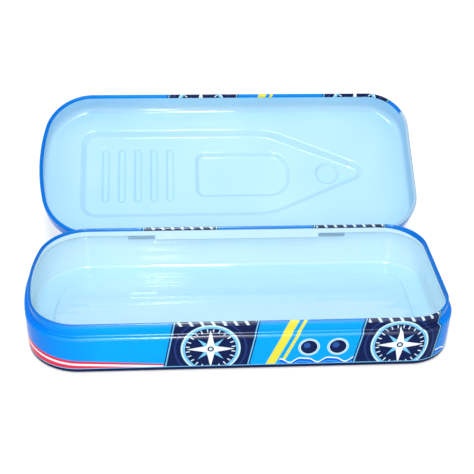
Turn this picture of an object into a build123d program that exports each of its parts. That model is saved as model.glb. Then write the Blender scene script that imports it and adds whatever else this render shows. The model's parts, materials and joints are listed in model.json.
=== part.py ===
"""Hinged tin pencil box, standing open.

Two drawn tinplate shells: a deep tray with a stepped neck and a folded rim, and a shallow
embossed lid with a curled rim. At the back, two short wire pins join the lid's curled
tongues to two tinplate straps, which pass through slots in the tray's neck.

Millimetres. X runs along the box, -Y is the front, +Z is up, and the origin is the middle
of the underside. The lid is laid out as if shut, on a plane that is swung open about the pins.
"""

import os
from math import atan2, cos, degrees, radians, sin, sqrt, tan

from build123d import *

# Tinplate and the plan of the box
sheet = 0.3
length = 205.0
width = 85.5
nose_corner_radius = 26.6
nose_end_radius = 101.5
tail_corner_radius = 22.0

# Tray, with heights above the table
shoulder_height = 20.4
rim_height = 26.6
foot_edge_radius = 2.0
shoulder_radius = 1.0
neck_inset = 2.2
neck_root_radius = 0.5
rim_curl_radius = 0.65
hem_drop = 4.6
back_hem_drop = 7.3
floor_panel_inset = 13.0
floor_panel_rise = 0.9
floor_step_run = 1.4
floor_bend_radius = 0.6

# Lid, laid out shut
seat_gap = 0.2
lid_depth = 13.8
lid_edge_radius = 5.0
lid_curl_radius = 1.0
lid_curl_angle = 260.0
open_angle = 146.0

# Hinges
hinge_spacing = 101.0
hinge_width = 14.0
strap_width = 6.0
strap_foot_drop = 3.0
strap_foot_rise = 0.6
strap_play = 0.05
slot_play = 0.1
pin_radius = 0.6
pin_play = 0.05
pin_grip = 0.02
pin_overhang = 0.3
pin_chamfer = 0.12
axis_inset = 0.5
axis_rise = 1.1
side_play = 0.2
notch_play = 0.25

# Embossed boat, seen from above, on the lid
hull_stern = -82.0
hull_shoulder = 24.0
hull_bow = 86.0
hull_half_width = 27.0
hull_rise = 3.0
stern_radius = 9.0
bilge_radius = 40.0
bow_radius = 6.0
cabin_back = -18.0
cabin_front = 36.0
cabin_half_width = 14.0
cabin_rise = 2.0
cabin_radius = 5.0
windscreen_radius = 12.0
hatch_x = 57.0
hatch_radius = 7.0
hatch_rise = 1.4
slat_count = 5
slat_pitch = 9.0
slat_first = -68.0
slat_length = 34.0
slat_width = 5.0
slat_rise = 1.4
press_slope = 45.0
press_radius = 1.4
small_press_radius = 0.7

# Values that follow from the ones above
hem_inset = neck_inset + 2 * rim_curl_radius - sheet
knuckle_radius = pin_radius + pin_play + sheet
knuckle_length = (hinge_width - strap_width) / 2 - side_play
pin_length = hinge_width + 2 * pin_overhang
notch_width = pin_length + 2 * notch_play
axis_height = shoulder_height + axis_rise
axis_y = width / 2 - axis_inset
lid_rim = shoulder_height + seat_gap
lid_top = lid_rim + lid_depth
lid_panel_inset = lid_edge_radius + sheet
deck = lid_top + hull_rise
notch_top = axis_height + knuckle_radius + notch_play
strap_top = axis_height + knuckle_radius
strap_inset = neck_inset + sheet + strap_play
nose_centre = -length / 2 + nose_end_radius
nose_corner_y = width / 2 - nose_corner_radius
nose_corner_x = nose_centre - sqrt((nose_end_radius - nose_corner_radius) ** 2 - nose_corner_y**2)
nose_angle = degrees(atan2(nose_corner_y, nose_centre - nose_corner_x))
tail_corner_x = length / 2 - tail_corner_radius
tail_corner_y = width / 2 - tail_corner_radius
straight_middle = (nose_corner_x + tail_corner_x) / 2
hinge_centres = [straight_middle - hinge_spacing / 2, straight_middle + hinge_spacing / 2]

# The lid's own ground plane, swung back about the pins from the table's
swing = radians(open_angle)
lid_plane = Plane(
    origin=(
        0,
        axis_y - axis_y * cos(swing) - axis_height * sin(swing),
        axis_height + axis_y * sin(swing) - axis_height * cos(swing),
    ),
    x_dir=(1, 0, 0),
    z_dir=(0, sin(swing), cos(swing)),
)


def front_section(x, ground):
    """Section plane at the front: across is the inset from the outline, up is the height."""
    origin = ground.from_local_coords((x, -width / 2, 0))
    return Plane(origin=origin, x_dir=ground.y_dir, z_dir=ground.x_dir)


def back_section(x, ground):
    """The same plane at the back of the box."""
    origin = ground.from_local_coords((x, width / 2, 0))
    return Plane(origin=origin, x_dir=-ground.y_dir, z_dir=-ground.x_dir)


def plan_outline(inset=0.0):
    """Draws the plan of the box in the open BuildLine, moved in by inset."""
    side = width / 2 - inset
    end = length / 2 - inset
    nose = nose_corner_radius - inset
    tail = tail_corner_radius - inset
    Line((straight_middle, -side), (tail_corner_x, -side))
    CenterArc((tail_corner_x, -tail_corner_y), tail, -90, 90)
    Line((end, -tail_corner_y), (end, tail_corner_y))
    CenterArc((tail_corner_x, tail_corner_y), tail, 0, 90)
    Line((tail_corner_x, side), (nose_corner_x, side))
    CenterArc((nose_corner_x, nose_corner_y), nose, 90, 90 - nose_angle)
    CenterArc((nose_centre, 0), nose_end_radius - inset, 180 - nose_angle, 2 * nose_angle)
    CenterArc((nose_corner_x, -nose_corner_y), nose, 180 + nose_angle, 90 - nose_angle)
    Line((nose_corner_x, -side), (straight_middle, -side))


def upright(inset, low, high, thickness=sheet):
    """Draws, in a section plane, an upright strip from low to high that starts at inset."""
    with Locations((inset, low)):
        Rectangle(thickness, high - low, align=Align.MIN)


# Tray: one skin from the floor panel, under the foot, up the wall and over the rim
with BuildPart() as tray:
    with BuildLine(Plane.XY) as tray_path:
        plan_outline()
    with BuildSketch(front_section(straight_middle, Plane.XY)):
        with BuildLine():
            wall = FilletPolyline(
                (floor_panel_inset + floor_step_run, floor_panel_rise),
                (floor_panel_inset, floor_panel_rise),
                (floor_panel_inset - floor_step_run, 0),
                (0, 0),
                (0, shoulder_height),
                (neck_inset, shoulder_height),
                (neck_inset, rim_height - rim_curl_radius),
                radius=[
                    floor_bend_radius,
                    floor_bend_radius,
                    foot_edge_radius,
                    shoulder_radius,
                    neck_root_radius,
                ],
            )
            curl = JernArc(wall @ 1, wall % 1, rim_curl_radius, -180)
            Line(curl @ 1, (hem_inset + sheet, rim_height - hem_drop))
            offset(amount=sheet, side=Side.LEFT)
        make_face()
    sweep(path=tray_path.line)
    with BuildSketch(Plane.XY.offset(floor_panel_rise)):
        with BuildLine():
            plan_outline(floor_panel_inset + floor_step_run)
        make_face()
    extrude(amount=sheet)
    with BuildSketch(back_section(straight_middle, Plane.XY)):
        upright(hem_inset, rim_height - back_hem_drop, rim_height - hem_drop)
    extrude(amount=(hinge_spacing - hinge_width) / 2 - side_play, both=True)
    for x in hinge_centres:
        with BuildSketch(back_section(x, Plane.XY)):
            upright(
                neck_inset - sheet / 2,
                strap_top - sheet - slot_play,
                strap_top + slot_play,
                2 * sheet,
            )
        extrude(amount=strap_width / 2 + side_play, both=True, mode=Mode.SUBTRACT)
tray.part.label = "tray"


def hull(height, inset):
    """The boat's outline at a height of the lid: a square stern and a pointed bow."""
    bow_angle = atan2(hull_half_width, hull_bow - hull_shoulder)
    side = hull_half_width - inset
    stern = hull_stern + inset
    shoulder = hull_shoulder - inset * tan(bow_angle / 2)
    bow = hull_bow - inset / sin(bow_angle)
    with BuildSketch(lid_plane.offset(height)) as outline:
        with BuildLine():
            FilletPolyline(
                (stern, -side),
                (shoulder, -side),
                (bow, 0),
                (shoulder, side),
                (stern, side),
                radius=[stern_radius, bilge_radius, bow_radius, bilge_radius, stern_radius],
                close=True,
            )
        make_face()
    return outline.sketch


def cabin(height, inset):
    """The cabin on the deck: a rounded windscreen towards the bow and a flatter back."""
    side = cabin_half_width - inset
    front = cabin_front - inset
    back = cabin_back + inset
    with BuildSketch(lid_plane.offset(height)) as outline:
        with BuildLine():
            FilletPolyline(
                (back, -side),
                (front, -side),
                (front, side),
                (back, side),
                radius=[cabin_radius, windscreen_radius, windscreen_radius, cabin_radius],
                close=True,
            )
        make_face()
    return outline.sketch


def hatch(height, inset):
    """The round hatch in front of the cabin."""
    with BuildSketch(lid_plane.offset(height)) as outline:
        with Locations((hatch_x, 0)):
            Circle(hatch_radius - inset)
    return outline.sketch


def slats(height, inset):
    """The row of deck slats behind the cabin."""
    with BuildSketch(lid_plane.offset(height)) as outline:
        for i in range(slat_count):
            with Locations((slat_first + i * slat_pitch, 0)):
                SlotOverall(slat_length - 2 * inset, slat_width - 2 * inset, rotation=90)
    return outline.sketch


def press(draw, height, rise, radius):
    """Presses one step of the relief outwards: raised, then hollowed to one sheet from below."""
    for depth, mode in ((0, Mode.ADD), (sheet, Mode.SUBTRACT)):
        inset = depth * tan(radians(press_slope / 2))
        extrude(draw(height - depth, inset), amount=rise, taper=90 - press_slope, mode=mode)
        fillet(edges(Select.LAST).filter_by(lid_plane), radius)


# Lid: one skin from the top panel, over the edge, down the skirt and round the curl
with BuildPart() as lid:
    with BuildLine(lid_plane) as lid_path:
        plan_outline()
    with BuildSketch(front_section(straight_middle, lid_plane)):
        with BuildLine():
            skirt = FilletPolyline(
                (lid_panel_inset, lid_top),
                (0, lid_top),
                (0, lid_rim + lid_curl_radius),
                radius=lid_edge_radius,
            )
            JernArc(skirt @ 1, skirt % 1, lid_curl_radius, lid_curl_angle)
            offset(amount=sheet, side=Side.RIGHT)
        make_face()
    sweep(path=lid_path.line)
    with BuildSketch(lid_plane.offset(lid_top - sheet)):
        with BuildLine():
            plan_outline(lid_panel_inset)
        make_face()
    extrude(amount=sheet)
    press(hull, lid_top, hull_rise, press_radius)
    press(cabin, deck, cabin_rise, press_radius)
    press(hatch, deck, hatch_rise, small_press_radius)
    press(slats, deck, slat_rise, small_press_radius)
    # At each hinge the curl gives way to two tongues, curled round the pin's ends
    for x in hinge_centres:
        with BuildSketch(back_section(x, lid_plane)):
            upright(-sheet, lid_rim - sheet, notch_top, neck_inset + sheet)
        extrude(amount=notch_width / 2, both=True, mode=Mode.SUBTRACT)
        for side in (-1, 1):
            tongue_x = x + side * (hinge_width - knuckle_length) / 2
            with BuildSketch(back_section(tongue_x, lid_plane)):
                with Locations((axis_inset, axis_height)):
                    Circle(knuckle_radius)
                upright(0, axis_height, notch_top)
                with Locations((axis_inset, axis_height)):
                    Circle(pin_radius + pin_grip, mode=Mode.SUBTRACT)
            extrude(amount=knuckle_length / 2, both=True)
lid.part.label = "lid"

os.makedirs("parts", exist_ok=True)
export_step(tray.part, "parts/tray.step")
export_step(lid.part, "parts/lid.step")

# Hinges: a wire pin, and a strap whose eye turns on it and whose foot is inside the neck
for side, x in zip(("left", "right"), hinge_centres):
    with BuildPart() as pin:
        with BuildSketch(back_section(x, Plane.XY)):
            with Locations((axis_inset, axis_height)):
                Circle(pin_radius)
        extrude(amount=pin_length / 2, both=True)
        chamfer(edges(), pin_chamfer)
    pin.part.label = f"hinge_pin_{side}"
    export_step(pin.part, f"parts/hinge_pin_{side}.step")

    with BuildPart() as strap:
        with BuildSketch(back_section(x, Plane.XY)):
            with Locations((axis_inset, axis_height)):
                Circle(knuckle_radius)
            upright(axis_inset, strap_top - sheet, strap_top, strap_inset - axis_inset + sheet)
            with Locations((axis_inset, axis_height)):
                Circle(pin_radius + pin_play, mode=Mode.SUBTRACT)
        extrude(amount=strap_width / 2, both=True)
        with BuildSketch(back_section(x, Plane.XY)):
            upright(strap_inset, strap_top - strap_foot_drop, strap_top + strap_foot_rise)
        extrude(amount=hinge_width / 2, both=True)
    strap.part.label = f"hinge_strap_{side}"
    export_step(strap.part, f"parts/hinge_strap_{side}.step")
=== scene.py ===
import json
import math

import bmesh
import bpy
from mathutils import Matrix, Vector, geometry


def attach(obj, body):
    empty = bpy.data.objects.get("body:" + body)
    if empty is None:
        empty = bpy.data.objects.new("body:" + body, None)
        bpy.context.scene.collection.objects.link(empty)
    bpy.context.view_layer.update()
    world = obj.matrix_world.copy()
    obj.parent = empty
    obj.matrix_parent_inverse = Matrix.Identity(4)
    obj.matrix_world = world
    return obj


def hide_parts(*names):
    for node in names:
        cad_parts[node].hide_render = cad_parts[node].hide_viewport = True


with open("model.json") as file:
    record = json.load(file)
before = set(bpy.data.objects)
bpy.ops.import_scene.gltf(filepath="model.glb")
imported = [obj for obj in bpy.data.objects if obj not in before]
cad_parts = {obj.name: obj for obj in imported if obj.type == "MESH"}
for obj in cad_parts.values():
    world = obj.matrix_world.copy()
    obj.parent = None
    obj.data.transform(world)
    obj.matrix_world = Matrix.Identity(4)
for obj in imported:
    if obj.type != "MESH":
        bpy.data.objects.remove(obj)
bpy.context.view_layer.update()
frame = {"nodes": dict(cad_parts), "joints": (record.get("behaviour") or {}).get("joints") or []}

# Sizes of the tin in millimetres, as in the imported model
MM = 0.001
SHEET = 0.3
LENGTH, WIDTH = 205.0, 85.5
NOSE_CORNER, NOSE_END, TAIL_CORNER = 26.6, 101.5, 22.0
SHOULDER, RIM, NECK_INSET = 20.4, 26.6, 2.2
FOOT_RADIUS, SHOULDER_RADIUS, ROOT_RADIUS, CURL_RADIUS = 2.0, 1.0, 0.5, 0.65
HEM, DEEP_HEM = RIM - 4.6, RIM - 7.3
PANEL_INSET, PANEL_RISE, STEP_RUN, FLOOR_BEND = 13.0, 0.9, 1.4, 0.6
LID_RIM, LID_DEPTH, LID_EDGE, LID_CURL = SHOULDER + 0.2, 13.8, 5.0, 1.0
LID_TOP = LID_RIM + LID_DEPTH
LID_CURL_TURN = math.radians(260)
AXIS_INSET, AXIS_RISE = 0.5, 1.1
AXIS_Y, AXIS_Z = WIDTH / 2 - AXIS_INSET, SHOULDER + AXIS_RISE
OPEN = math.radians(frame["joints"][0]["range_deg"][1])
KNUCKLE = 0.95
HINGE_SPACING, HINGE_WIDTH, STRAP_WIDTH, STRAP_GAP = 101.0, 14.0, 6.0, 0.2
KNUCKLE_LENGTH = (HINGE_WIDTH - STRAP_WIDTH) / 2 - STRAP_GAP
DEEP_HEM_HALF = (HINGE_SPACING - HINGE_WIDTH) / 2 - 0.2
NOTCH_WIDTH = HINGE_WIDTH + 1.1
NOTCH_TOP = AXIS_Z + KNUCKLE + 0.25
SLOT_LOW, SLOT_HIGH = AXIS_Z + KNUCKLE - SHEET - 0.1, AXIS_Z + KNUCKLE + 0.1
# Height up the unrolled wall at which the rim's curl has turned down inside, and how far the print runs on
BENDS = SHOULDER_RADIUS + ROOT_RADIUS
RIM_TURNED = RIM + NECK_INSET + (math.pi / 2 - 2) * BENDS + (math.pi - 1) * CURL_RADIUS
PRINT_OVER, PRINT_OVER_MORE = 0.9, 1.2
# Steps of the meshes, how near rows and places are that count as one, and the least angles of sharp edges
STRAIGHT_STEP, ARC_STEP, ARC_ANGLE = 4.0, 3.0, math.radians(2.25)
NEAR, TINY = 0.02, 0.01
SHARP, WIRE_SHARP = math.radians(38), math.radians(30)

# The plan of the box: straight sides, a rounder end on the left and a squarer one on the right
nose_centre = -LENGTH / 2 + NOSE_END
nose_y = WIDTH / 2 - NOSE_CORNER
nose_x = nose_centre - math.sqrt((NOSE_END - NOSE_CORNER) ** 2 - nose_y**2)
nose_angle = math.degrees(math.atan2(nose_y, nose_centre - nose_x))
tail_x, tail_y = LENGTH / 2 - TAIL_CORNER, WIDTH / 2 - TAIL_CORNER
MIDDLE = (nose_x + tail_x) / 2
HINGES = (MIDDLE - HINGE_SPACING / 2, MIDDLE + HINGE_SPACING / 2)
SIDE = WIDTH / 2

PLAN = [
    ("line", (MIDDLE, SIDE), (nose_x, SIDE)),
    ("arc", (nose_x, nose_y), NOSE_CORNER, 90.0, 180.0 - nose_angle),
    ("arc", (nose_centre, 0.0), NOSE_END, 180.0 - nose_angle, 180.0 + nose_angle),
    ("arc", (nose_x, -nose_y), NOSE_CORNER, 180.0 + nose_angle, 270.0),
    ("line", (nose_x, -SIDE), (tail_x, -SIDE)),
    ("arc", (tail_x, -tail_y), TAIL_CORNER, -90.0, 0.0),
    ("line", (LENGTH / 2, -tail_y), (LENGTH / 2, tail_y)),
    ("arc", (tail_x, tail_y), TAIL_CORNER, 0.0, 90.0),
    ("line", (tail_x, SIDE), (MIDDLE, SIDE)),
]


def run_length(part):
    if part[0] == "line":
        return (Vector(part[2]) - Vector(part[1])).length
    return part[2] * math.radians(part[4] - part[3])


S_START = nose_x - sum(run_length(p) for p in PLAN[:4])
S_END = S_START + sum(run_length(p) for p in PLAN)


def on_plan(s):
    """Point and inward normal on the outline at s, which runs anticlockwise from the middle of the back.

    Along the front, s is x.
    """
    left = s - S_START
    for part in PLAN:
        long = run_length(part)
        if left <= long + 1e-9 or part is PLAN[-1]:
            break
        left -= long
    if part[0] == "line":
        a, b = Vector(part[1]), Vector(part[2])
        along = (b - a).normalized()
        return a + along * left, Vector((-along.y, along.x))
    angle = math.radians(part[3]) + left / part[2]
    out = Vector((math.cos(angle), math.sin(angle)))
    return Vector(part[1]) + out * part[2], -out


def back(x):
    """s of a point on the back straight."""
    return S_START + MIDDLE - x if x < MIDDLE else S_END - (x - MIDDLE)


def stations(extra):
    """Values of s round the outline, close together on the arcs, with the extra ones among them."""
    found = set(extra)
    s = S_START
    for part in PLAN:
        long = run_length(part)
        step = STRAIGHT_STEP if part[0] == "line" else min(ARC_ANGLE * part[2], ARC_STEP)
        count = math.ceil(long / step)
        found.update(s + long * i / count for i in range(count))
        s += long
    kept = []
    for s in sorted(found):
        if not kept or s - kept[-1] > NEAR:
            kept.append(s)
        elif s in extra:
            kept[-1] = s
    return kept


def rounded(points, radii):
    """A path through the points with rounded corners, as (place, heading) pairs."""
    path = [(Vector(points[0]), (Vector(points[1]) - Vector(points[0])).normalized())]
    for before, corner, after, radius in zip(points, points[1:], points[2:], radii):
        corner = Vector(corner)
        a = (corner - Vector(before)).normalized()
        b = (Vector(after) - corner).normalized()
        turn = math.atan2(a.x * b.y - a.y * b.x, a.dot(b))
        if not radius:
            path += [(corner, a), (corner, b)]
            continue
        side = math.copysign(1.0, turn)
        start = corner - a * radius * abs(math.tan(turn / 2))
        path += arc(start, a, radius, turn, side)
    last = (Vector(points[-1]) - Vector(points[-2])).normalized()
    return path + [(Vector(points[-1]), last)]


def arc(start, heading, radius, turn, side):
    """An arc that leaves start along heading, as (place, heading) pairs."""
    centre = start + Vector((-heading.y, heading.x)) * side * radius
    count = max(3, math.ceil(math.degrees(abs(turn)) / (9 if radius > 0.7 else 15)))
    path = []
    for i in range(count + 1):
        swing = Matrix.Rotation(turn * i / count, 2)
        path.append((centre + swing @ (start - centre), swing @ heading))
    return path


def section(path, side, cuts, datum):
    """Rows of a drawn sheet: (outer place, inner place, unrolled height).

    Cuts add rows at heights. The unrolled height equals the height at the datum.
    """
    rows = []
    for (p, along), (q, _) in zip(path, path[1:] + [path[-1]]):
        rows.append((p, along))
        for height in sorted(cuts, reverse=q.y < p.y):
            if abs(along.x) < 1e-6 and min(p.y, q.y) + NEAR < height < max(p.y, q.y) - NEAR:
                rows.append((Vector((p.x, height)), along))
    out, run = [], 0.0
    for i, (p, along) in enumerate(rows):
        run += (p - rows[i - 1][0]).length if i else 0.0
        inner = p + Vector((-along.y, along.x)) * side * SHEET
        if not out or (p - out[-1][0]).length > 1e-4 or (inner - out[-1][1]).length > 1e-4:
            out.append((p, inner, run))
    zero = next(run for p, _, run in out if abs(p.x) < 1e-6 and abs(p.y - datum) < 1e-6)
    return [(p, q, datum - (run - zero) * side) for p, q, run in out]


# Material slots of a shell, and the artwork's place for faces that it leaves plain
PRINT, LACQUER, BARE = 0, 1, 2
OFF_WALL = (0.0, 0.1)
SWING = Matrix.Rotation(-OPEN, 3, "X")
HINGE = Vector((0.0, AXIS_Y, AXIS_Z))


def opened(p):
    """A point of the shut lid, where it is with the lid open."""
    return HINGE + SWING @ (p - HINGE)


class Tin:
    """A sheet-metal shell: two skins and raw edges, with artwork coordinates for wall, plan and zone."""

    def __init__(self, move=lambda p: p):
        self.bm = bmesh.new()
        self.move = move
        self.maps = [self.bm.loops.layers.uv.new(name) for name in ("wall", "plan", "zone")]
        self.flat = {}

    def vert(self, x, y, z):
        v = self.bm.verts.new(self.move(Vector((x, y, z))) * MM)
        self.flat[v] = (x * MM, y * MM)
        return v

    def face(self, verts, wall=None, material=PRINT, zone=0, insets=None):
        if len(set(verts)) < 3:
            return
        face = self.bm.faces.new(verts)
        face.material_index = material
        face.smooth = True
        for i, loop in enumerate(face.loops):
            loop[self.maps[0]].uv = wall[i] if wall else OFF_WALL
            loop[self.maps[1]].uv = self.flat[loop.vert]
            loop[self.maps[2]].uv = (zone, insets[i] * MM if insets else 0.0)

    def wall(self, ring, rows, present):
        """Skins and raw edges over a grid of ring positions and section rows.

        Returns the first rows of both skins.
        """
        skins = []
        for skin in (0, 1):
            grid = []
            for s in ring:
                p, n = on_plan(s)
                column = []
                for row in rows:
                    at = p + n * row[skin].x
                    column.append(self.vert(at.x, at.y, row[skin].y))
                grid.append(column)
            skins.append(grid)
        count, last = len(ring), len(rows) - 1
        ends = list(ring) + [S_END]
        whole = []
        for a, b in zip(ends, ends[1:]):
            whole.append([present((a + b) / 2, (low[0] + high[0]) / 2, (low[2] + high[2]) / 2)
                          for low, high in zip(rows, rows[1:])])

        def uv(i, j):
            return (ends[i] * MM, rows[j][2] * MM)

        for i in range(count):
            k = (i + 1) % count
            for j in range(last):
                if not whole[i][j]:
                    continue
                corners = [(i, i, j), (k, i + 1, j), (k, i + 1, j + 1), (i, i, j + 1)]
                for skin, material in ((0, PRINT), (1, LACQUER)):
                    verts = [skins[skin][column][row] for column, _, row in corners]
                    self.face(verts, [uv(column, row) for _, column, row in corners], material)
                edges = []
                if j == last - 1 or not whole[i][j + 1]:
                    edges.append(((i, i, j + 1), (k, i + 1, j + 1)))
                if j > 0 and not whole[i][j - 1]:
                    edges.append(((k, i + 1, j), (i, i, j)))
                if not whole[k][j]:
                    edges.append(((k, i + 1, j), (k, i + 1, j + 1)))
                if not whole[i - 1][j]:
                    edges.append(((i, i, j + 1), (i, i, j)))
                for (a, au, ar), (b, bu, br) in edges:
                    self.face([skins[0][a][ar], skins[0][b][br], skins[1][b][br], skins[1][a][ar]],
                              [uv(au, ar), uv(bu, br), uv(bu, br), uv(au, ar)], BARE)
        return [[column[0] for column in grid] for grid in skins]

    def flats(self, loops, material, zone):
        """A flat face that fills the first loop and leaves the others open."""
        flat = [v for loop in loops for v in loop]
        places = [[Vector((*self.flat[v], 0.0)) for v in loop] for loop in loops]
        for triangle in geometry.tessellate_polygon(places):
            self.face([flat[i] for i in triangle], None, material, zone)

    def done(self, name, materials, body, *nodes, slot):
        bmesh.ops.delete(self.bm, geom=[v for v in self.bm.verts if not v.link_faces], context="VERTS")
        bmesh.ops.recalc_face_normals(self.bm, faces=self.bm.faces)
        mesh = bpy.data.meshes.new(name)
        self.bm.to_mesh(mesh)
        self.bm.free()
        mesh.set_sharp_from_angle(angle=SHARP)
        for material in materials:
            mesh.materials.append(material)
        ob = bpy.data.objects.new(name, mesh)
        bpy.context.scene.collection.objects.link(ob)
        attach(ob, body)
        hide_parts(*nodes)


def rounded_outline(points, radii):
    """An embossed form's outline, as (centre, radius, first angle, last angle) of its corner arcs."""
    arcs = []
    for i, radius in enumerate(radii):
        p = Vector(points[i])
        a = (p - Vector(points[i - 1])).normalized()
        b = (Vector(points[(i + 1) % len(points)]) - p).normalized()
        turn = math.atan2(a.x * b.y - a.y * b.x, a.dot(b))
        first = math.atan2(-a.x, a.y)
        centre = p - a * radius * math.tan(turn / 2) + Vector((-a.y, a.x)) * radius
        arcs.append((centre, radius, first, first + turn))
    return arcs


def ring_points(outline, inset):
    """The outline moved in by inset. Every inset gives as many points."""
    points = []
    for centre, radius, first, last in outline:
        full = last - first > 6
        count = max(3, math.ceil(math.degrees(last - first) / 6))
        for i in range(count + (0 if full else 1)):
            angle = first + (last - first) * i / count
            points.append(centre + Vector((math.cos(angle), math.sin(angle))) * (radius - inset))
    return points


HULL = rounded_outline([(-82, -27), (24, -27), (86, 0), (24, 27), (-82, 27)], [9, 40, 6, 40, 9])
CABIN = rounded_outline([(-18, -14), (36, -14), (36, 14), (-18, 14)], [5, 12, 12, 5])
HATCH_X = 57.0
HATCH = [(Vector((HATCH_X, 0.0)), 7.0, 0.0, math.tau)]
SLATS = [[(Vector((x, -14.5)), 2.5, -math.pi, 0.0), (Vector((x, 14.5)), 2.5, 0.0, math.pi)]
         for x in (-68.0 + 9.0 * i for i in range(5))]
HULL_RISE, CABIN_RISE, SMALL_RISE = 3.0, 2.0, 1.4
PRESS_RADIUS, SMALL_PRESS_RADIUS = 1.4, 0.7
DECK = LID_TOP + HULL_RISE
# The slope of the pressed sides, and how far back from a corner its fillet starts, per radius
SLOPE, SLOPE_STEPS = math.radians(45), 5
LEAN = math.tan(SLOPE / 2)
# Zones of the lid's artwork
TOP, HULL_SIDE, DECKING, CABIN_SIDE, ROOF, HATCH_ZONE, SLAT_ZONE = range(1, 8)


def emboss(tin, outline, height, rise, radius, depth, material, zone):
    """The sloping side of a pressed form, as rings of faces. Returns its outer and inner loops."""
    reach = radius * LEAN
    steps = [SLOPE * i / SLOPE_STEPS for i in range(SLOPE_STEPS + 1)]
    bend = [(radius * math.sin(a) - reach, radius - radius * math.cos(a)) for a in steps]
    rise_path = bend + [(rise - inset, rise - up) for inset, up in reversed(bend)]
    loops = []
    for inset, up in rise_path:
        places = ring_points(outline, inset + depth * LEAN)
        loops.append([tin.vert(p.x, p.y, height + up - depth) for p in places])
    for (a, low), (b, high) in zip(zip(loops, rise_path), list(zip(loops, rise_path))[1:]):
        for i in range(len(a)):
            k = (i + 1) % len(a)
            tin.face([a[i], a[k], b[k], b[i]], None, material, zone, [low[0], low[0], high[0], high[0]])
    return loops[0], loops[-1]


# Materials
def linear(*rgb):
    """A colour given as 0 to 255 steps of sRGB."""
    return tuple((c / 255 / 12.92 if c <= 10 else ((c / 255 + 0.055) / 1.055) ** 2.4) for c in rgb) + (1.0,)


def math_method(operation, swap=False):
    """A method of Value that adds one kind of Math node."""
    def method(self, *others):
        return self.op(operation, *others, swap=swap)

    return method


class Value:
    """A number in a node tree, with arithmetic that adds Math nodes."""

    def __init__(self, tree, socket):
        self.tree, self.socket = tree, socket

    def op(self, operation, *others, clamp=False, swap=False):
        node = self.tree.nodes.new("ShaderNodeMath")
        node.operation, node.use_clamp = operation, clamp
        values = (self, *others)
        for slot, value in zip(node.inputs, reversed(values) if swap else values):
            if isinstance(value, Value):
                self.tree.links.new(value.socket, slot)
            else:
                slot.default_value = value
        return Value(self.tree, node.outputs[0])

    __add__ = __radd__ = math_method("ADD")
    __mul__ = __rmul__ = math_method("MULTIPLY")
    __sub__ = math_method("SUBTRACT")
    __rsub__ = math_method("SUBTRACT", swap=True)
    __truediv__ = math_method("DIVIDE")
    abs = math_method("ABSOLUTE")
    sin = math_method("SINE")
    cos = math_method("COSINE")
    sqrt = math_method("SQRT")
    floor = math_method("FLOOR")
    mod = math_method("FLOORED_MODULO")
    angle = math_method("ARCTAN2")

    def __neg__(self):
        return self * -1.0

    def least(self, *others):
        value = self
        for other in others:
            value = value.op("MINIMUM", other)
        return value

    def most(self, *others):
        value = self
        for other in others:
            value = value.op("MAXIMUM", other)
        return value

    def ramp(self, low, high):
        """0 below low, 1 above high."""
        return ((self - low) * (1.0 / (high - low))).op("ADD", 0.0, clamp=True)

    def inside(self, soft=0.14):
        """1 where the signed distance is negative, with a soft edge."""
        return (0.5 - self * (1.0 / soft)).op("ADD", 0.0, clamp=True)

    def band(self, half):
        """1 within that distance of zero on either side, with a soft edge."""
        return (self.abs() - half).inside()


class Paint:
    """Builds one material: a colour made of layers, then roughness and bump on the shader."""

    def __init__(self, name):
        self.material = bpy.data.materials.new(name)
        self.material.use_nodes = True
        self.tree = self.material.node_tree
        self.shader = self.tree.nodes["Principled BSDF"]
        self.colour = None

    def map(self, name):
        """The two coordinates of a UV map, in millimetres."""
        node = self.tree.nodes.new("ShaderNodeUVMap")
        node.uv_map = name
        split = self.tree.nodes.new("ShaderNodeSeparateXYZ")
        self.tree.links.new(node.outputs[0], split.inputs[0])
        return Value(self.tree, split.outputs[0]) * (1 / MM), Value(self.tree, split.outputs[1]) * (1 / MM)

    def noise(self, scale, detail, stretch=(1, 1, 1)):
        coords = self.tree.nodes.new("ShaderNodeTexCoord")
        mapping = self.tree.nodes.new("ShaderNodeMapping")
        mapping.inputs["Scale"].default_value = stretch
        node = self.tree.nodes.new("ShaderNodeTexNoise")
        node.inputs["Scale"].default_value = scale
        node.inputs["Detail"].default_value = detail
        self.tree.links.new(coords.outputs["Object"], mapping.inputs[0])
        self.tree.links.new(mapping.outputs[0], node.inputs["Vector"])
        return Value(self.tree, node.outputs["Fac"])

    def layer(self, colour, mask=None):
        """Lays a colour over what is there, through the mask."""
        if mask is None:
            self.colour = colour
            return
        node = self.tree.nodes.new("ShaderNodeMix")
        node.data_type = "RGBA"
        self.tree.links.new(mask.socket, node.inputs["Factor"])
        if isinstance(self.colour, tuple):
            node.inputs[6].default_value = self.colour
        else:
            self.tree.links.new(self.colour, node.inputs[6])
        node.inputs[7].default_value = colour
        self.colour = node.outputs[2]

    def finish(self, roughness, heights, **sockets):
        """Links the colour, a roughness and (height value, distance) bumps, and sets the other sockets."""
        self.tree.links.new(self.colour, self.shader.inputs["Base Color"])
        self.tree.links.new(roughness.socket, self.shader.inputs["Roughness"])
        normal = None
        for height, distance in heights:
            bump = self.tree.nodes.new("ShaderNodeBump")
            bump.inputs["Distance"].default_value = distance
            self.tree.links.new(height.socket, bump.inputs["Height"])
            if normal:
                self.tree.links.new(normal, bump.inputs["Normal"])
            normal = bump.outputs[0]
        self.tree.links.new(normal, self.shader.inputs["Normal"])
        for name, value in sockets.items():
            self.shader.inputs[name.replace("_", " ")].default_value = value
        return self.material


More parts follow.
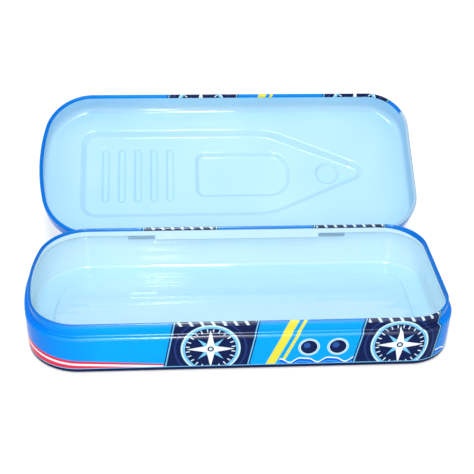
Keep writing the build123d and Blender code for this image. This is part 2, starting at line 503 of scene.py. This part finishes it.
# The second and third blues are painted shade on the print: at the curved ends and on the curl
SKY, END_SHADE_BLUE, CURL_SHADE_BLUE, NAVY = linear(0, 162, 250), linear(0, 110, 220), linear(0, 100, 196), linear(12, 28, 76)
RED, YELLOW, SILVER = linear(226, 48, 78), linear(232, 222, 70), linear(214, 236, 248)
ICE, WHITE, STEEL = linear(118, 196, 236), linear(238, 246, 252), linear(178, 192, 203)
# The lid's pale is painted shade and the last a painted light: darker and lighter copies of the pale lacquer
PALE, LID_SHADED_PALE, PAINTED_LIGHT_PALE = linear(183, 227, 248), linear(174, 220, 247), linear(215, 238, 248)
# The curl grey is a painted highlight, and the edge grey is a cut edge with painted shade under it
CURL_HIGHLIGHT_GREY, EDGE_SHADE_GREY = linear(162, 197, 222), linear(104, 132, 150)
SLATE, GLINT = linear(30, 52, 112), linear(40, 84, 160)
SEA, FOAM, SEAM = linear(0, 104, 220), linear(60, 176, 246), linear(120, 164, 196)
CLOUD, RUB, WIRE = linear(206, 241, 255), linear(132, 138, 146), linear(206, 209, 212)
FOOT_LINE = 3.2
PANEL_LEAN, PANEL_HALF = 0.18, 20.0
# Compass roses: places along the wall, height, and radii from the frame in to the hub's middle
ROSES = (-14.0, 74.0, back(66.0), back(-24.0))
ROSE_HEIGHT = 13.0
ROSE_FRAME, ROSE_FIELD, ROSE_LINE, ROSE_RING = 16.4, 14.0, 13.3, 12.8
ROSE_TICKS, ROSE_HUB, ROSE_EYE, TICKS = 10.6, 1.5, 0.8, 24
# Portholes: places, height and radii
PORTHOLES = (31.5, 45.0, -160.0, -173.5)
PORTHOLE_HEIGHT = 12.8
PORTHOLE_RIM, PORTHOLE_LINE, PORTHOLE_GLASS = 5.0, 4.5, 3.9
# Striped wedge and yellow stripes along the wall, and the stretches that have waves
WEDGE_START, WEDGE_END = -128.0, -28.0
STRIPES, STRIPE_LEAN = ((12.5, 2.2), (17.6, 0.8)), 0.42
WATERS, WATERLINE, WAVE_LENGTH = ((18.0, 205.0), (-245.0, -145.0)), 5.0, 13.0
DASH_PERIOD, DASH_HALF = 4.6, 0.62
# The lid's sea, deck planks and cabin
LID_WAVE_LENGTH, SWELL_Y, WAKE_Y = 21.0, 33.2, 29.8
PLANK_WIDTH, PLANK_LENGTH, PLANK_SHIFT, SEAM_HALF = 3.0, 41.0, 17.0, 0.09
SCREEN_X, WINDOW_START, WINDOW_END, STRIPE_X = 24.0, -12.0, 34.0, 4.0
PRINT_ROUGHNESS, PRINT_SHEEN, EDGE_SHEEN, RIPPLE = 0.12, 0.06, 0.75, 0.00003


def disc(x, y, cx, cy):
    """Distance from a point of the artwork."""
    dx, dy = x - cx, y - cy
    return (dx * dx + dy * dy).sqrt()


def star(x, y, cx, cy, points, tip, waist, turn=0.0):
    """Signed distance, roughly, to a star with that many points."""
    dx, dy = x - cx, y - cy
    sector = math.tau / points
    folded = ((dy.angle(dx) + (math.pi + turn)).mod(sector) - sector / 2).abs()
    far = (dx * dx + dy * dy).sqrt()
    px, py = far * folded.cos(), far * folded.sin()
    wx, wy = waist * math.cos(sector / 2), waist * math.sin(sector / 2)
    run = math.hypot(tip - wx, wy)
    return (px - tip) * (wy / run) + py * ((tip - wx) / run)


def panel_side(s, v, cx):
    """Signed distance to the sides of a leaning panel."""
    return (s - v * PANEL_LEAN - (cx - ROSE_HEIGHT * PANEL_LEAN)).abs() - PANEL_HALF


def compass(paint, s, v, cx, cy):
    """A compass rose on a leaning navy panel with a pale border."""
    panel = panel_side(s, v, cx)
    paint.layer(NAVY, panel.inside())
    paint.layer(ICE, (panel + 0.9).band(0.3))
    far = disc(s, v, cx, cy)
    paint.layer(SLATE, (far - ROSE_FRAME).band(0.5))
    paint.layer(NAVY, (far - ROSE_FIELD).inside())
    paint.layer(ICE, (far - ROSE_RING).band(1.0))
    paint.layer(SILVER, (far - ROSE_LINE).band(0.35))
    sector = math.tau / TICKS
    bearing = ((v - cy).angle(s - cx) + math.pi).mod(sector) - sector / 2
    ticks = ((bearing * far).abs() - 0.28).most((far - ROSE_TICKS).abs() - 0.9)
    paint.layer(SILVER, ticks.inside())
    paint.layer(ICE, star(s, v, cx, cy, 4, 8.4, 2.0).inside())
    paint.layer(WHITE, star(s, v, cx, cy, 4, 11.0, 2.6, math.pi / 4).inside())
    paint.layer(NAVY, (far - ROSE_HUB).inside())
    paint.layer(SILVER, (far - ROSE_EYE).inside())


def porthole(paint, s, v, cx, cy):
    """A round window in a silver rim, with a glint to the upper left."""
    far = disc(s, v, cx, cy)
    paint.layer(SILVER, (far - PORTHOLE_RIM).inside())
    paint.layer(NAVY, (far - PORTHOLE_GLASS).inside())
    paint.layer(ICE, (far - PORTHOLE_LINE).band(0.16))
    paint.layer(GLINT, (disc(s, v, cx - 1.0, cy + 1.0) - 1.6).most(far - 3.3).inside(0.6))


def artwork(paint, s, v, x, curl_shade):
    """The printed wall: sky-blue, with painted shade at the curved ends and on the curl, and roses,
    portholes, a wedge and waves.
    """
    paint.layer(SKY)
    # Painted shade: darker blue towards the curved ends, which turn from the light
    ends = (x - MIDDLE).abs().ramp(66.0, 100.0)
    paint.layer(END_SHADE_BLUE, ends * 0.8)
    # Painted shade: a darker blue laid on the curl
    paint.layer(CURL_SHADE_BLUE, curl_shade)
    # Striped wedge, thick at the left and thin towards the compass rose
    slope = (s + 96.0) * 0.1
    span = (s - WEDGE_END).most(WEDGE_START - s)
    paint.layer(RED, (v - (9.0 - slope * 0.7)).most(span).inside())
    paint.layer(WHITE, ((v - (6.6 - slope * 0.55)).abs() - 0.6).most(span).inside())
    # Yellow sail stripes
    for at, wide in STRIPES:
        paint.layer(YELLOW, (s - v * STRIPE_LEAN - at).band(wide))
    # Waves along the foot
    turns = math.tau / WAVE_LENGTH
    swell = (s * turns).sin() * 1.25 + (s * (turns * 2) + 1.2).sin() * 0.38
    wave = v - WATERLINE - swell
    shores = [(start - s).most(s - end) for start, end in WATERS]
    ashore = shores[0].least(shores[1])
    paint.layer(WHITE, (wave - 0.75).most(ashore).inside())
    paint.layer(SEA, wave.most(ashore).inside())
    paint.layer(FOAM, ((wave + 1.7).abs() - 0.22).most(ashore).inside())
    for cx in PORTHOLES:
        porthole(paint, s, v, cx, PORTHOLE_HEIGHT)
    for cx in ROSES:
        compass(paint, s, v, cx, ROSE_HEIGHT)
    # Dashes that run over the rim on the panels
    sides = [panel_side(s, v, cx) + 2.0 for cx in ROSES]
    dash = ((s * 0.9 + v * 0.5).mod(DASH_PERIOD) - DASH_PERIOD / 2).abs() - DASH_HALF
    over = (v - RIM_TURNED + 1.4).abs() - 1.8
    paint.layer(SILVER, dash.most(over, sides[0].least(*sides[1:])).inside(0.3))


def boat(paint, x, y, zone, inset):
    """The lid's print: a boat from above, on the sea, fitted to the embossed forms."""
    def at(n):
        return 1.0 - ((zone - n).abs() - 0.3).ramp(0.0, 0.1)

    paint.layer(SKY, (zone - 0.5).ramp(0.0, 0.1))
    turns = math.tau / LID_WAVE_LENGTH
    swell = y.abs() - SWELL_Y - (x * turns).sin() * 0.9
    paint.layer(WHITE, swell.band(0.45) * at(TOP))
    wake = y.abs() - WAKE_Y - (x * turns + 1.6).sin() * 0.9
    paint.layer(FOAM, wake.band(0.3) * at(TOP))
    paint.layer(NAVY, at(HULL_SIDE))
    paint.layer(RED, at(HULL_SIDE) * (inset - 0.9).inside())
    paint.layer(WHITE, at(HULL_SIDE) * (inset - 1.1).band(0.22))
    paint.layer(SILVER, at(DECKING))
    plank = ((y + PLANK_WIDTH / 2).mod(PLANK_WIDTH) - PLANK_WIDTH / 2).abs() - SEAM_HALF
    shift = (y / PLANK_WIDTH + 0.5).floor() * PLANK_SHIFT
    butt = ((x + shift).mod(PLANK_LENGTH) - 20.0).abs() - SEAM_HALF
    paint.layer(SEAM, plank.least(butt).inside(0.1) * at(DECKING) * 0.7)
    paint.layer(RED, at(CABIN_SIDE))
    paint.layer(WHITE, at(ROOF))
    screen = (SCREEN_X - x).most(y.abs() - 9.4)
    windows = screen.least((y.abs() - 9.6).abs() - 1.3).most(WINDOW_START - x, x - WINDOW_END)
    paint.layer(NAVY, at(ROOF) * windows.inside())
    paint.layer(ICE, at(ROOF) * ((x - y * 0.5 - 27.0).abs() - 0.8).most(screen + 0.8).inside())
    paint.layer(RED, at(ROOF) * ((x - STRIPE_X).abs() - 0.7).most(y.abs() - 6.4).inside())
    paint.layer(YELLOW, at(HATCH_ZONE))
    glass = disc(x, y, HATCH_X, 0.0) - 3.4
    paint.layer(NAVY, at(HATCH_ZONE) * glass.inside())
    paint.layer(SILVER, at(HATCH_ZONE) * glass.band(0.35))
    paint.layer(YELLOW, at(SLAT_ZONE))


def print_gloss(paint, x, edge):
    """The gloss of the print. The drawn edges are polished, so that they catch the light."""
    drift = paint.noise(38.0, 3.0)
    speck = paint.noise(2600.0, 2.0)
    waves = paint.noise(26.0, 1.0)
    sheen = edge * (1.0 - (x - MIDDLE).abs().ramp(70.0, 92.0)) * EDGE_SHEEN + PRINT_SHEEN
    paint.tree.links.new(sheen.socket, paint.shader.inputs["Specular IOR Level"])
    return paint.finish(drift * 0.09 + PRINT_ROUGHNESS, [(waves, 0.0002), (speck, 0.000002)])


def tray_print():
    """The outside of the tray, over the rim and down the hem."""
    paint = Paint("tray_print")
    s, v = paint.map("wall")
    x, y = paint.map("plan")
    # Painted shade on the rim's curl
    artwork(paint, s, v, x, v.ramp(27.0, 28.0) * 0.6)
    # The print stops a little below the top of the hem, and lower still at the squarer end.
    # Navy print goes round the foot, under a pale line that is a painted highlight. The hem's cut edge and
    # the shade under it are painted as a thin grey line.
    further = s.ramp(92.0, 108.0).least((-s).ramp(-194.0, -170.0)) * PRINT_OVER_MORE + PRINT_OVER
    # Painted light: the pale lacquer past the print is painted lighter than the inside
    paint.layer(PAINTED_LIGHT_PALE, (v - further - RIM_TURNED).ramp(-0.1, 0.1))
    between = ((x - MIDDLE).abs() - DEEP_HEM_HALF).most(30.0 - y).inside(0.1)
    hem_end = RIM_TURNED + RIM - CURL_RADIUS - HEM
    line = (v + between * (DEEP_HEM - HEM) - (hem_end - 0.25)).ramp(-0.05, 0.05)
    # Painted shade with the cut edge: a thin grey line along the hem's lower edge
    paint.layer(EDGE_SHADE_GREY, line * 0.75)
    # Painted highlight: the pale line along the top of the navy foot band
    paint.layer(ICE, (v - FOOT_LINE).inside())
    paint.layer(NAVY, (v - FOOT_LINE + 0.4).inside())
    edge = (1.0 - ((v - 20.9).abs() - 1.2).ramp(0.0, 0.8)).most((v - 26.0).ramp(0.0, 1.5))
    return print_gloss(paint, x, edge)


def lid_print():
    """The outside of the lid."""
    paint = Paint("lid_print")
    s, v = paint.map("wall")
    x, y = paint.map("plan")
    # Painted shade on the lid's curl
    artwork(paint, s, v, x, (v - 21.4).inside(0.6) * 0.45)
    zone, inset = paint.map("zone")
    boat(paint, x, y, zone * MM, inset)
    # Painted highlight: the curl is pale grey at the squarer end, as if it caught the light there
    curl_highlight = (v - 21.0).most((s - 145.0).abs() - 40.0)
    paint.layer(CURL_HIGHLIGHT_GREY, curl_highlight.inside(1.2))
    edge = 1.0 - ((v - 31.5).abs() - 2.0).ramp(0.0, 2.0)
    return print_gloss(paint, x, edge)


def lacquered(name, drawn):
    """The pale inside, painted darker in the lid as painted shade. In the drawn tray it is painted lighter up
    the walls as painted light, with shallow ripples along the floor.
    """
    paint = Paint(name)
    # Painted shade: the lid's lacquer is a darker copy of the tray's
    paint.layer(PALE if drawn else LID_SHADED_PALE)
    heights = [(paint.noise(18.0, 1.0), 0.00014),
               (paint.noise(60.0, 2.0, (0.15, 1.6, 1.0)), 0.000012),
               (paint.noise(2200.0, 2.0), 0.000002)]
    if drawn:
        _, v = paint.map("wall")
        # Painted light: lighter up the walls than on the floor
        paint.layer(PAINTED_LIGHT_PALE, v.ramp(-1.0, 3.0))
        _, y = paint.map("plan")
        swing = paint.noise(22.0, 1.0, (0.4, 1.0, 1.0)) * 4.0
        heights.append(((y * (math.tau / 6.6) + swing).sin(), RIPPLE))
    paint.layer(CLOUD, paint.noise(14.0, 2.0).ramp(0.42, 0.75) * 0.4)
    roughness = paint.noise(30.0, 2.0) * 0.05 + 0.035
    return paint.finish(roughness, heights, Specular_IOR_Level=0.9 if drawn else 0.4)


def metal(name, colour, streak, base_roughness):
    """Bare metal, rubbed in streaks along the box."""
    paint = Paint(name)
    paint.layer(colour)
    paint.layer(RUB, paint.noise(streak, 3.0, (0.08, 1.0, 1.0)).ramp(0.45, 0.8) * 0.35)
    rub = paint.noise(streak * 0.6, 4.0, (0.1, 1.0, 1.0))
    return paint.finish(base_roughness + rub * 0.2, [(rub, 0.00001)], Metallic=1.0)


tinplate = metal("bare_tinplate", STEEL, 900.0, 0.22)
wire = metal("drawn_wire", WIRE, 2400.0, 0.16)
lid_lacquer, tray_lacquer = lacquered("lid_lacquer", False), lacquered("tray_lacquer", True)

# Tray
tray_path = rounded(
    [(PANEL_INSET + STEP_RUN, PANEL_RISE), (PANEL_INSET, PANEL_RISE), (PANEL_INSET - STEP_RUN, 0), (0, 0),
     (0, SHOULDER), (NECK_INSET, SHOULDER), (NECK_INSET, RIM - CURL_RADIUS)],
    [FLOOR_BEND, FLOOR_BEND, FOOT_RADIUS, SHOULDER_RADIUS, ROOT_RADIUS],
)
tray_path += arc(tray_path[-1][0], tray_path[-1][1], CURL_RADIUS, -math.pi, -1)[1:]
tray_path += [(Vector((NECK_INSET + 2 * CURL_RADIUS, DEEP_HEM)), Vector((0, -1)))]
tray_rows = section(tray_path, -1, (SLOT_LOW, SLOT_HIGH, HEM), FOOT_RADIUS)
hem_ends = [back(MIDDLE + side * DEEP_HEM_HALF) for side in (-1, 1)]
slots = [(x - STRAP_WIDTH / 2 - STRAP_GAP, x + STRAP_WIDTH / 2 + STRAP_GAP) for x in HINGES]
tray_ring = stations(hem_ends + [back(x) for pair in slots for x in pair])


def in_tray(s, place, _):
    """False below the hem's edge and in the slots."""
    p = on_plan(s)[0]
    at_back = p.y > SIDE - TINY
    if place.x > NECK_INSET + CURL_RADIUS and DEEP_HEM - 0.1 < place.y < HEM:
        return at_back and abs(p.x - MIDDLE) < DEEP_HEM_HALF
    if abs(place.x - NECK_INSET) < TINY and SLOT_LOW < place.y < SLOT_HIGH and at_back:
        return not any(a < p.x < b for a, b in slots)
    return True


tray = Tin()
under, floor_top = tray.wall(tray_ring, tray_rows, in_tray)
# The raised panel counts as below the foot line, which makes its underside navy
PANEL_HEIGHT = -20.0
for loop, material in ((under, PRINT), (floor_top, LACQUER)):
    tray.face(loop, [(v.co.x, PANEL_HEIGHT * MM) for v in loop], material)
tray.done("tray_tin", [tray_print(), tray_lacquer, tinplate], "tray", "tray", slot="printed_tray")

# Lid, laid out shut and swung open
lid_path = rounded([(LID_EDGE + SHEET, LID_TOP), (0, LID_TOP), (0, LID_RIM + LID_CURL)], [LID_EDGE])
lid_path += arc(lid_path[-1][0], lid_path[-1][1], LID_CURL, LID_CURL_TURN, 1)[1:]
lid_rows = section(lid_path, 1, (NOTCH_TOP,), LID_RIM + LID_CURL)
notches = [(x - NOTCH_WIDTH / 2, x + NOTCH_WIDTH / 2) for x in HINGES]
lid_ring = stations([back(x) for pair in notches for x in pair])


def in_lid(s, _, unrolled):
    """False in the notches at the hinges."""
    p = on_plan(s)[0]
    return not (unrolled < NOTCH_TOP and p.y > SIDE - TINY and any(a < p.x < b for a, b in notches))


lid = Tin(opened)
for skin, loop in enumerate(lid.wall(lid_ring, lid_rows, in_lid)):
    material, depth = (PRINT, 0.0) if skin == 0 else (LACQUER, SHEET)
    hull_out, hull_in = emboss(lid, HULL, LID_TOP, HULL_RISE, PRESS_RADIUS, depth, material, HULL_SIDE)
    lid.flats([loop, hull_out], material, TOP)
    fittings = [(CABIN, CABIN_RISE, PRESS_RADIUS, CABIN_SIDE, ROOF),
                (HATCH, SMALL_RISE, SMALL_PRESS_RADIUS, HATCH_ZONE, HATCH_ZONE)]
    fittings += [(slat, SMALL_RISE, SMALL_PRESS_RADIUS, SLAT_ZONE, SLAT_ZONE) for slat in SLATS]
    on_deck = []
    for outline, rise, radius, side_zone, top_zone in fittings:
        outer, inner = emboss(lid, outline, DECK, rise, radius, depth, material, side_zone)
        on_deck.append(outer)
        lid.face(inner, None, material, top_zone)
    lid.flats([hull_in] + on_deck, material, DECKING)

# Tongues at the hinges, with the artwork heights of their top and of one step down
TONGUE_STEPS, TONGUE_END = 24, math.radians(418)
TONGUE_PRINT, TONGUE_PRINT_STEP = 22.8, 0.3


def tongue_section():
    """Rows of a tongue's sheet, (outer place, inner place), from the skirt round the pin."""
    rows = [(Vector((0.0, NOTCH_TOP)), Vector((SHEET, NOTCH_TOP)))]
    for i in range(TONGUE_STEPS + 1):
        row = []
        for radius, inset in ((KNUCKLE, AXIS_INSET), (KNUCKLE - SHEET, AXIS_INSET - SHEET)):
            first = math.pi - math.acos(inset / radius)
            angle = first + (TONGUE_END - first) * i / TONGUE_STEPS
            row.append(Vector((AXIS_INSET + radius * math.cos(angle), AXIS_Z + radius * math.sin(angle))))
        rows.append(row)
    return rows


def tongue(tin, low, high):
    """A tongue between two places along the box, curled round the hinge pin."""
    rows = tongue_section()
    left, right = ([[tin.vert(x, SIDE - p.x, p.y) for p in row] for row in rows] for x in (low, high))
    s = [back(x) * MM for x in (low, high)]
    for j in range(len(rows) - 1):
        top, foot = ((TONGUE_PRINT - TONGUE_PRINT_STEP * row) * MM for row in (j, j + 1))
        walls = [(s[0], top), (s[1], top), (s[1], foot), (s[0], foot)]
        tin.face([left[j][0], right[j][0], right[j + 1][0], left[j + 1][0]], walls, PRINT)
        tin.face([left[j][1], right[j][1], right[j + 1][1], left[j + 1][1]], None, LACQUER)
        for edge in (left, right):
            tin.face([edge[j][0], edge[j + 1][0], edge[j + 1][1], edge[j][1]], None, BARE)
    for j in (0, len(rows) - 1):
        tin.face([left[j][0], right[j][0], right[j][1], left[j][1]], None, BARE)


for x in HINGES:
    for side in (-1, 1):
        middle = x + side * (HINGE_WIDTH - KNUCKLE_LENGTH) / 2
        tongue(lid, middle - KNUCKLE_LENGTH / 2, middle + KNUCKLE_LENGTH / 2)
lid.done("lid_tin", [lid_print(), lid_lacquer, tinplate], "lid", "lid", slot="printed_lid")

# Pins and straps
for name, node in frame["nodes"].items():
    if "hinge" in name:
        node.data.materials.clear()
        node.data.materials.append(wire if "pin" in name else tinplate)
        node.data.shade_smooth()
        node.data.set_sharp_from_angle(angle=WIRE_SHARP)


# Floor, studio and camera
def seen_white(tree, lit, seen):
    """Mixes two shaders: seen for camera, glossy and transmission rays, lit for the rest."""
    path = tree.nodes.new("ShaderNodeLightPath")
    names = ("Is Camera Ray", "Is Glossy Ray", "Is Transmission Ray")
    rays = [Value(tree, path.outputs[name]) for name in names]
    mix = tree.nodes.new("ShaderNodeMixShader")
    tree.links.new(rays[0].most(rays[1], rays[2]).socket, mix.inputs[0])
    tree.links.new(lit.outputs[0], mix.inputs[1])
    tree.links.new(seen.outputs[0], mix.inputs[2])
    return mix.outputs[0]


# Sizes in metres, and strengths of the light
FLOOR_HALF, FLOOR_DROP = 3.0, 0.0002
FLOOR_GLOW, WORLD_LIGHT = 0.36, 0.6

floor_mesh = bpy.data.meshes.new("studio_floor")
corners = [(x * FLOOR_HALF, y * FLOOR_HALF, 0) for x, y in ((-1, -1), (1, -1), (1, 1), (-1, 1))]
floor_mesh.from_pydata(corners, [], [(0, 1, 2, 3)])
floor = bpy.data.objects.new("studio_floor", floor_mesh)
bpy.context.scene.collection.objects.link(floor)
floor.location.z = -FLOOR_DROP
material = bpy.data.materials.new("floor_white")
material.use_nodes = True
tree = material.node_tree
tree.nodes.remove(tree.nodes["Principled BSDF"])
lit = tree.nodes.new("ShaderNodeBsdfDiffuse")
lit.inputs[0].default_value = (0.8, 0.8, 0.8, 1)
glow = tree.nodes.new("ShaderNodeEmission")
glow.inputs[1].default_value = FLOOR_GLOW
both = tree.nodes.new("ShaderNodeAddShader")
tree.links.new(lit.outputs[0], both.inputs[0])
tree.links.new(glow.outputs[0], both.inputs[1])
tree.links.new(seen_white(tree, lit, both), tree.nodes["Material Output"].inputs[0])
floor_mesh.materials.append(material)

world = bpy.data.worlds.new("studio")
bpy.context.scene.world = world
world.use_nodes = True
tree = world.node_tree
lit = tree.nodes["Background"]
lit.inputs[0].default_value = (0.95, 0.98, 1.0, 1)
lit.inputs[1].default_value = WORLD_LIGHT
white = tree.nodes.new("ShaderNodeBackground")
white.inputs[1].default_value = 1.0
white.inputs[0].default_value = (1, 1, 1, 1)
tree.links.new(seen_white(tree, lit, white), tree.nodes["World Output"].inputs[0])


def lamp(name, place, aim, power, size, size_y):
    """A soft lamp, with places and sizes in metres and its power in watts."""
    light = bpy.data.lights.new(name, "AREA")
    light.energy = power
    light.shape = "RECTANGLE"
    light.size, light.size_y = size, size_y
    ob = bpy.data.objects.new(name, light)
    ob.location = place
    ob.rotation_euler = (Vector(aim) - Vector(place)).to_track_quat("-Z", "Y").to_euler()
    bpy.context.scene.collection.objects.link(ob)


lamp("key", (0.015, -0.55, 1.2), (0, 0.02, 0), 4.6, 0.12, 0.6)
lamp("glint", (-0.1, -0.42, 1.25), (0, 0.05, 0), 1.2, 0.08, 0.05)
lamp("front", (0.1, -1.5, 0.7), (0, 0.02, 0), 3.8, 1.0, 1.0)
lamp("left", (-1.1, -0.35, 0.9), (0, 0.02, 0), 1.9, 0.6, 0.6)
# Close beside the camera, and seen in the tray off both its floor and its back wall
lamp("flash", (-0.046, -0.396, 0.315), (-0.03, 0.03, 0.01), 0.52, 0.038, 0.015)

# The camera: its angles, then its offset to the right, up and back from a point above the origin
AZIMUTH, ELEVATION, ROLL = math.radians(-4.405), math.radians(33.232), math.radians(1.512)
LOOK_HEIGHT, OFFSET = 20.0, (0.61, 21.91, 454.46)
FOCAL_PIXELS, FRAME_PIXELS, SENSOR = 919.3, 474, 36
level = math.cos(ELEVATION)
backward = Vector((math.sin(AZIMUTH) * level, -math.cos(AZIMUTH) * level, math.sin(ELEVATION)))
rightward = Vector((math.cos(AZIMUTH), math.sin(AZIMUTH), 0.0))
upward = backward.cross(rightward)
c, s = math.cos(ROLL), math.sin(ROLL)
rightward, upward = rightward * c + upward * s, upward * c - rightward * s
camera_data = bpy.data.cameras.new("camera")
camera_data.lens = FOCAL_PIXELS / FRAME_PIXELS * SENSOR
camera_data.sensor_width = SENSOR
camera = bpy.data.objects.new("camera", camera_data)
bpy.context.scene.collection.objects.link(camera)
place = rightward * OFFSET[0] + upward * OFFSET[1] + backward * OFFSET[2] + Vector((0, 0, LOOK_HEIGHT))
turn = Matrix((rightward, upward, backward)).transposed()
camera.matrix_world = Matrix.Translation(place * MM) @ turn.to_4x4()
bpy.context.scene.camera = camera

bpy.context.scene.view_settings.view_transform = "Standard"
